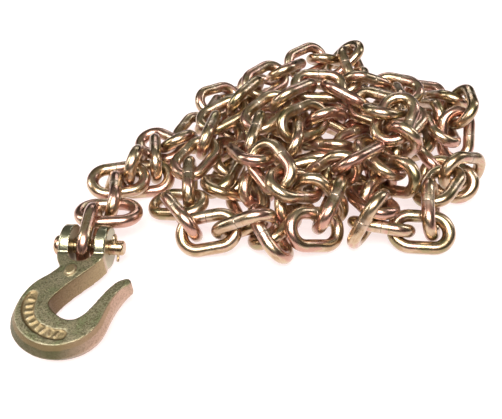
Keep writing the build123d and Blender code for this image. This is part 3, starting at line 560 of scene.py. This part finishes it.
chain_mat = chain_material()
for node, first, last in NODES:
    verts, faces, wires, welds, tones = [], [], [], [], []
    for i in range(first, last + 1):
        add_link(verts, faces, wires, welds, tones, LIE[i], i)
    ob = mesh_piece("v_" + node, verts, faces, chain_mat)
    set_attr(ob, "wire", "FLOAT_VECTOR", wires)
    set_attr(ob, "weld", "FLOAT", welds)
    set_attr(ob, "tone", "FLOAT", tones)
    bm = bmesh.new()
    bm.from_mesh(ob.data)
    bmesh.ops.recalc_face_normals(bm, faces=bm.faces)
    bm.to_mesh(ob.data)
    bm.free()
    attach(ob, BODY_OF[node])
    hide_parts(node)

# ------------------------------------------------------------------ hook
hook_at = Matrix.Translation(Vector(HOOK_ORIGIN) * MM) @ Matrix.Rotation(math.radians(HOOK_YAW), 4, "Z") @ Matrix.Rotation(math.radians(HOOK_TILT), 4, "X")
hook_inv = hook_at.inverted()


def forged_hook():
    """The forging: the solid's skin remeshed fine, its corners rubbed round, and given the pebble of scale."""
    src = frame["nodes"]["hook"]
    me = src.data.copy()
    me.name = "v_hook"
    ob = bpy.data.objects.new("v_hook", me)
    bpy.context.scene.collection.objects.link(ob)
    bm = bmesh.new()
    bm.from_mesh(me)
    bmesh.ops.remove_doubles(bm, verts=bm.verts, dist=1e-6)
    bm.to_mesh(me)
    bm.free()
    rem = ob.modifiers.new("remesh", "REMESH")
    rem.mode = "VOXEL"
    rem.voxel_size = 0.00055
    rem.adaptivity = 0.0
    sm = ob.modifiers.new("smooth", "SMOOTH")
    sm.factor = 0.5
    sm.iterations = 5
    dg = bpy.context.evaluated_depsgraph_get()
    new = bpy.data.meshes.new_from_object(ob.evaluated_get(dg))
    ob.modifiers.clear()
    ob.data = new
    new.name = "v_hook"
    bm = bmesh.new()
    bm.from_mesh(new)
    bm.normal_update()
    flank_shade, sunk, crest, rosy_lit, inner, ear, rise, edge_lit = [], [], [], [], [], [], [], []
    moves = []
    for v in bm.verts:
        p = hook_inv @ v.co / MM
        n = hook_inv.to_3x3() @ v.normal
        # curvature from the fan of neighbours: positive on outer edges
        acc = 0.0
        for e in v.link_edges:
            o = e.other_vert(v)
            d = o.co - v.co
            if d.length > 1e-9:
                acc -= d.normalized().dot(v.normal)
        acc /= max(1, len(v.link_edges))
        crest.append(max(0.0, min(1.0, (acc - 0.05) * 6.0)))
        up = abs(n.z)
        behind = p.y < -13
        # side walls facing away from the top, marked for painted shade
        flank_shade.append(max(0.0, min(1.0, (0.95 - up) / 0.25)) if behind else 0.0)
        out = (p.x - 3) * n.x + (p.y + 57) * n.y
        inner.append(1.0 if out < 0 and behind else 0.0)
        # outer flank facing +x, marked for painted pinkish light
        rosy_lit.append(max(0.0, min(1.0, (n.x - 0.15) / 0.6)) if out > 0 and behind else 0.0)
        ear.append(max(0.0, min(1.0, (p.y + 17) / 3.0)))
        rise.append(max(0.0, min(1.0, (p.y + 52) / 34.0)))
        # edges that take a painted highlight; the others take painted shade
        edge_lit.append(1.0 if (out > 0 and n.x < 0.1) or p.y > -20 or p.z > 9.0 else 0.0)
        in_panel = (p.z > 5 and n.z > 0.3 and p.z < 8.2 and p.y < -45) or (p.z > 9.2 and p.y < -22)
        sunk.append(1.0 if in_panel else 0.0)
        h = 0.07 * noise.noise(p * 0.8) + 0.06 * noise.noise(p * 1.7 + Vector((7, 7, 7))) - 0.05
        if math.hypot(p.y, p.z) < 6.6 or abs(p.x) < 9.2 and p.y > -22:
            h *= 0.3
        h *= 1.0 - 0.75 * ear[-1]
        moves.append(v.normal * h * MM)
    for v, mv in zip(bm.verts, moves):
        v.co += mv
    bm.to_mesh(new)
    bm.free()
    new.polygons.foreach_set("use_smooth", [True] * len(new.polygons))
    set_attr(ob, "flank_shade", "FLOAT", flank_shade)
    set_attr(ob, "sunk", "FLOAT", sunk)
    set_attr(ob, "crest", "FLOAT", crest)
    set_attr(ob, "rosy_lit", "FLOAT", rosy_lit)
    set_attr(ob, "inner", "FLOAT", inner)
    set_attr(ob, "ear", "FLOAT", ear)
    set_attr(ob, "rise", "FLOAT", rise)
    set_attr(ob, "edge_lit", "FLOAT", edge_lit)
    new.materials.clear()
    new.materials.append(forging_material())
    return ob


hook = forged_hook()
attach(hook, BODY_OF["hook"])
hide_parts("hook")

# ------------------------------------------------------------------ clevis pin and cotter pin
pin_mat = pin_material()


def lathe(name, profile, material, around=48):
    """Body of revolution about the pin's axis X; profile is (x, r) in mm."""
    verts, faces = [], []
    for x, r in profile:
        for k in range(around):
            a = 2 * math.pi * k / around
            verts.append(hook_at @ (Vector((x, r * math.cos(a), r * math.sin(a))) * MM))
    n = len(profile)
    for i in range(n - 1):
        for k in range(around):
            l = (k + 1) % around
            faces.append((i * around + k, i * around + l, (i + 1) * around + l, (i + 1) * around + k))
    faces.append(tuple(reversed(range(around))))
    faces.append(tuple(range((n - 1) * around, n * around)))
    ob = mesh_piece(name, verts, faces, material)
    bm = bmesh.new()
    bm.from_mesh(ob.data)
    bmesh.ops.recalc_face_normals(bm, faces=bm.faces)
    bm.to_mesh(ob.data)
    bm.free()
    return ob


head = [(-23.18, 3.6), (-23.12, 5.0), (-22.9, 5.7), (-22.4, 6.4), (-21.8, 6.9), (-21.1, 7.15), (-20.2, 7.23),
        (-19.0, 7.23), (-18.72, 7.15), (-18.62, 6.9)]
shank = [(-18.60, 5.9), (-18.55, 5.35), (-18.3, 5.23), (-10, 5.23), (0, 5.23), (10, 5.23), (20, 5.23), (25.0, 5.23), (25.4, 5.12),
         (26.0, 4.6), (26.25, 4.25), (26.28, 3.6)]
pin = lathe("v_clevis_pin", head + shank, pin_mat)
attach(pin, BODY_OF["clevis_pin"])
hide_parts("clevis_pin")


def tube_along(name, points, radius, material, around=14, cuts=6):
    """Round wire along a smoothed polyline, points in the pin's frame in mm."""
    pts = [Vector(p) for p in points]
    fine = []
    for i in range(len(pts) - 1):
        p0 = pts[max(0, i - 1)]
        p1, p2 = pts[i], pts[i + 1]
        p3 = pts[min(len(pts) - 1, i + 2)]
        for k in range(cuts):
            t = k / cuts
            fine.append(0.5 * ((2 * p1) + (p2 - p0) * t + (2 * p0 - 5 * p1 + 4 * p2 - p3) * t * t
                               + (3 * p1 - p0 - 3 * p2 + p3) * t * t * t))
    fine.append(pts[-1])
    verts, faces = [], []
    up = Vector((1, 0, 0))
    n = len(fine)
    for i, p in enumerate(fine):
        t = (fine[min(n - 1, i + 1)] - fine[max(0, i - 1)]).normalized()
        side = t.cross(up).normalized()
        r = radius * (0.72 if i in (0, n - 1) else 1.0)
        for k in range(around):
            a = 2 * math.pi * k / around
            verts.append(hook_at @ ((p + side * r * math.cos(a) + up * r * math.sin(a)) * MM))
    for i in range(n - 1):
        for k in range(around):
            l = (k + 1) % around
            faces.append((i * around + k, i * around + l, (i + 1) * around + l, (i + 1) * around + k))
    faces.append(tuple(reversed(range(around))))
    faces.append(tuple(range((n - 1) * around, n * around)))
    ob = mesh_piece(name, verts, faces, material)
    bm = bmesh.new()
    bm.from_mesh(ob.data)
    bmesh.ops.recalc_face_normals(bm, faces=bm.faces)
    bm.to_mesh(ob.data)
    bm.free()
    return ob


CX = 20.9
cot = [(CX, -4.3, -10.0), (CX, -2.9, -8.8), (CX, -1.15, -7.2), (CX, -0.99, -3.0), (CX, -0.99, 2.0), (CX, -1.2, 5.6),
       (CX, -2.3, 7.6), (CX, -2.75, 9.6), (CX, -1.5, 11.4), (CX, 0, 11.95), (CX, 1.5, 11.4), (CX, 2.75, 9.6), (CX, 2.3, 7.6),
       (CX, 1.2, 5.6), (CX, 0.99, 2.0), (CX, 0.99, -3.0), (CX, 1.15, -7.2), (CX, 2.7, -9.0), (CX, 3.9, -10.3)]
cotter = tube_along("v_cotter_pin", cot, 0.93, pin_mat)
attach(cotter, BODY_OF["cotter_pin"])
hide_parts("cotter_pin")

# ------------------------------------------------------------------ floor, light, camera
fm, fnt, fb = new_material("floor")
fb.inputs["Base Color"].default_value = (0.30, 0.29, 0.285, 1)
fb.inputs["Roughness"].default_value = 0.6
fb.inputs["Specular IOR Level"].default_value = 0.15
fb.inputs["Emission Color"].default_value = (1.0, 0.86, 0.84, 1)
fb.inputs["Emission Strength"].default_value = 0.86
me = bpy.data.meshes.new("floor")
S = 6.0
me.from_pydata([(-S, -S, 0), (S, -S, 0), (S, S, 0), (-S, S, 0)], [], [(0, 1, 2, 3)])
me.materials.append(fm)
floor = bpy.data.objects.new("floor", me)
bpy.context.scene.collection.objects.link(floor)
floor.location.z = -0.0002


def softbox(name, loc, target, size_x, size_y, power, color=(1, 1, 1)):
    d = bpy.data.lights.new(name, "AREA")
    d.shape = "RECTANGLE"
    d.size = size_x
    d.size_y = size_y
    d.energy = power
    d.color = color
    o = bpy.data.objects.new(name, d)
    bpy.context.scene.collection.objects.link(o)
    o.location = loc
    o.rotation_euler = (Vector(target) - Vector(loc)).to_track_quat("-Z", "Y").to_euler()
    return o


MID = (0.0, 0.0, 0.02)
softbox("key", (-0.10, -0.62, 1.02), MID, 1.05, 0.60, 27.5, (1.0, 0.985, 0.96))
softbox("left", (-0.95, 0.05, 0.55), MID, 0.22, 0.60, 3.2, (1.0, 0.99, 0.97))
softbox("right", (0.95, 0.30, 0.65), MID, 0.20, 0.60, 2.4, (0.97, 0.98, 1.0))
softbox("rear", (0.0, 1.05, 0.75), MID, 0.7, 0.14, 1.6, (1.0, 0.99, 0.97))

world = bpy.data.worlds.new("studio")
bpy.context.scene.world = world
world.use_nodes = True
wn = world.node_tree
wn.nodes.clear()
wo = wn.nodes.new("ShaderNodeOutputWorld")
bg = wn.nodes.new("ShaderNodeBackground")
gc = wn.nodes.new("ShaderNodeTexCoord")
sx = wn.nodes.new("ShaderNodeSeparateXYZ")
wn.links.new(gc.outputs["Generated"], sx.inputs[0])
wr = wn.nodes.new("ShaderNodeValToRGB")
cr = wr.color_ramp
cr.elements[0].position = 0.0
cr.elements[0].color = (0.015, 0.015, 0.012, 1)
cr.elements[1].position = 1.0
cr.elements[1].color = (0.17, 0.178, 0.135, 1)
for pos, val in ((0.40, 0.012), (0.60, 0.085), (0.80, 0.15)):
    e = cr.elements.new(pos)
    e.color = (val, val * 1.02, val * 0.80, 1)
wn.links.new(sx.outputs["Z"], wr.inputs[0])
wn.links.new(wr.outputs[0], bg.inputs[0])
bg.inputs[1].default_value = 1.0
wn.links.new(bg.outputs[0], wo.inputs[0])

sc = bpy.context.scene
sc.view_settings.view_transform = "Standard"
cam_data = bpy.data.cameras.new("camera")
cam_data.sensor_width = 36.0
cam_data.lens = 43.03
cam = bpy.data.objects.new("camera", cam_data)
sc.collection.objects.link(cam)
cam.location = (-0.02232, -0.39747, 0.30990)
cam.rotation_euler = (math.radians(50.0), 0.0, 0.0)
cam_data.clip_start = 0.01
sc.camera = cam
